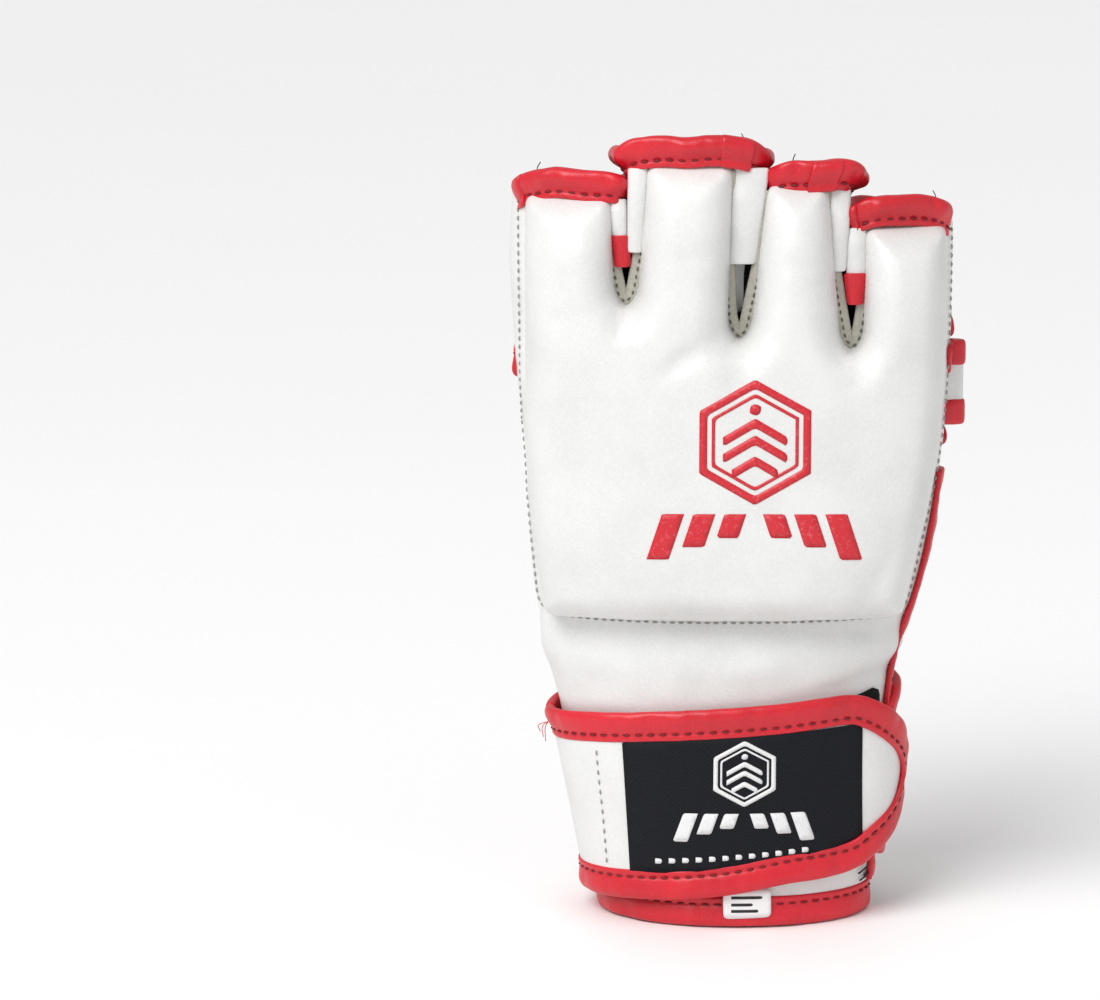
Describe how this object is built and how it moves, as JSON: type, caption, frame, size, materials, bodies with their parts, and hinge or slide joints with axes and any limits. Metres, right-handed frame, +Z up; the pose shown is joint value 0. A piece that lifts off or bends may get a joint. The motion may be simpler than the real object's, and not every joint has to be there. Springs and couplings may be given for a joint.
{
  "type": "mma glove",
  "caption": "Open-palm grappling glove with padded knuckles, short finger loops, thumb hole and a hook-and-loop wrist strap; right hand.",
  "frame": {"origin": "on the surface that the cuff hem stands on, under the middle of the glove's box", "axes": "+Z up to the finger tips, +X to the little finger side, +Y to the palm, -Y to the back of the hand; the thumb side is -X"},
  "size_m": [0.1233, 0.0648, 0.217],
  "materials": {
    "white_leather": "white coated leather, fine grain, semi-gloss",
    "red_leather": "red coated leather, soft gloss",
    "hem_leather": "grey-beige turned edge, matt",
    "foam": "closed-cell foam padding, matt",
    "black_knit": "black knit lining, matt",
    "woven_label": "woven satin label, slight sheen",
    "hook_and_loop": "hook-and-loop tape, matt",
    "red_print": "printed ink, satin",
    "paper_tag": "thin plain sticker, matt"
  },
  "bodies": {
    "glove": {"back_foam_sheet": "foam", "cuff_hem_binding": "red_leather", "cuff_loop_tape": "hook_and_loop", "dorsal_base_panel": "white_leather", "dorsal_edge_binding": "red_leather", "dorsal_lining": "black_knit", "entry_slit_binding": "red_leather", "finger_cutout_binding": "red_leather", "index_finger_band": "white_leather", "index_rim_binding": "red_leather", "index_slit_hem": "hem_leather", "knuckle_foam": "foam", "knuckle_pad_cover": "white_leather", "little_finger_band": "white_leather", "little_rim_binding": "red_leather", "middle_finger_band": "white_leather", "middle_rim_binding": "red_leather", "middle_slit_hem": "hem_leather", "palm_bar_panel": "white_leather", "palm_heel_panel": "white_leather", "palm_opening_bottom_binding": "red_leather", "palm_opening_top_binding": "red_leather", "printed_emblem": "red_print", "ring_finger_band": "white_leather", "ring_rim_binding": "red_leather", "ring_slit_hem": "hem_leather", "size_tag": "paper_tag", "thumb_hole_binding": "red_leather", "ulnar_side_strap": "white_leather", "ulnar_tab": "white_leather", "ulnar_tab_bindings": "red_leather", "wrist_back_panel": "white_leather"},
    "strap_wrap": {"strap_wrap_binding": "red_leather", "strap_wrap_panel": "white_leather"},
    "strap_flap": {"strap_flap_binding": "red_leather", "strap_flap_panel": "white_leather", "strap_label": "woven_label", "strap_hook_tape": "hook_and_loop"}
  },
  "joints": [
    {"name": "strap_root_fold", "type": "hinge", "parent": "glove", "child": "strap_wrap", "pos_m": [0.0484, 0.0044, 0.035], "axis": [0, 0, -1], "range_deg": [0, 32]},
    {"name": "strap_flap_fold", "type": "hinge", "parent": "strap_wrap", "child": "strap_flap", "pos_m": [-0.0545, 0.0044, 0.035], "axis": [0, 0, -1], "range_deg": [0, 160]}
  ],
  "couplings": [
    {"joint": "strap_root_fold", "follows": "strap_flap_fold", "ratio": 0.2}
  ]
}
